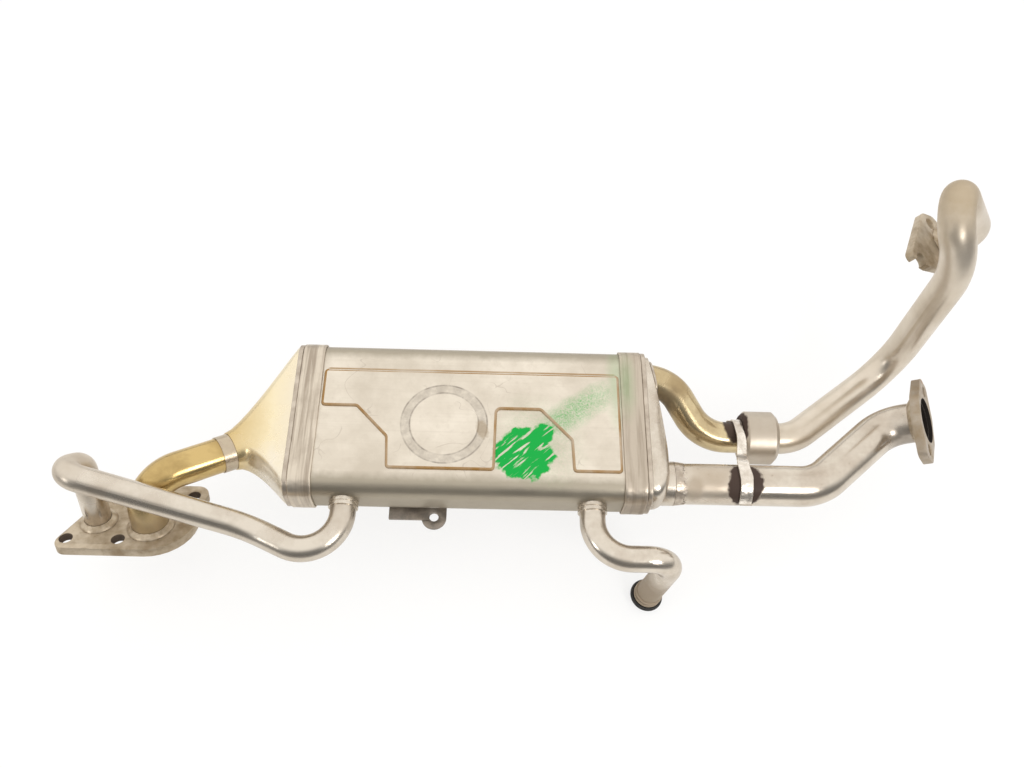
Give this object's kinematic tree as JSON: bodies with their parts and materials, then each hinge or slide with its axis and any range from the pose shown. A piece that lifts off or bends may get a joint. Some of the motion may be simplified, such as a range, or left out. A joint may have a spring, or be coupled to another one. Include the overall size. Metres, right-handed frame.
{
  "type": "egr cooler",
  "caption": "Flat welded exhaust gas recirculation cooler with an inlet cone, bent gas and coolant pipes, and bolted end flanges.",
  "frame": {"origin": "centre of the gas port in the inlet plate's mating face", "axes": "+X along the core from the inlet cone to the end cap, +Z out of the core's stamped face, +Y away from the coolant stubs"},
  "size_m": [0.6459, 0.2569, 0.2316],
  "materials": {
    "shell": "satin stainless sheet with stains, scratches and green paint",
    "header": "satin stainless sheet, stained",
    "core": "plain stainless",
    "cone": "stainless with a straw heat tint",
    "seam": "rough welded steel",
    "band": "smooth stainless",
    "tinted_pipe": "stainless with a gold heat tint",
    "bypass": "stainless with a gold heat tint",
    "plate": "machined steel plate, dulled",
    "weld": "weld bead",
    "coolant_pipe": "bright stainless tube",
    "collar": "bright stainless ring",
    "seal": "black rubber",
    "tab": "dark mill-finish steel",
    "cap": "satin pressed stainless",
    "sleeve": "turned steel",
    "riser": "stainless tube with brown stains",
    "riser_plate": "steel plate, dulled",
    "outlet": "stainless tube with brown stains",
    "outlet_ring": "weld ring",
    "outlet_plate": "steel plate with a rust spot",
    "strap": "bright steel strip",
    "burnt": "burnt weld bead"
  },
  "bodies": {
    "root": {"shell": "shell", "left_header": "header", "right_header": "header", "core_tubes": "core", "tube_spacers": "core", "inlet_cone": "cone", "cone_seam": "seam", "cap_seam": "seam", "neck_band": "band", "inlet_pipe": "tinted_pipe", "bypass_pipe": "bypass", "inlet_plate": "plate", "inlet_weld": "weld", "coolant_outlet_weld": "weld", "bypass_weld": "weld", "riser_weld": "weld", "outlet_weld": "weld", "coolant_outlet_pipe": "coolant_pipe", "coolant_inlet_pipe": "coolant_pipe", "stub_collars": "collar", "spigot_seal": "seal", "mounting_tab": "tab", "end_cap": "cap", "coupling_sleeve": "sleeve", "riser_pipe": "riser", "riser_flange": "riser_plate", "outlet_pipe": "outlet", "outlet_collar": "outlet_ring", "outlet_flange": "outlet_plate", "strap": "strap", "strap_welds": "burnt"}
  },
  "joints": []
}
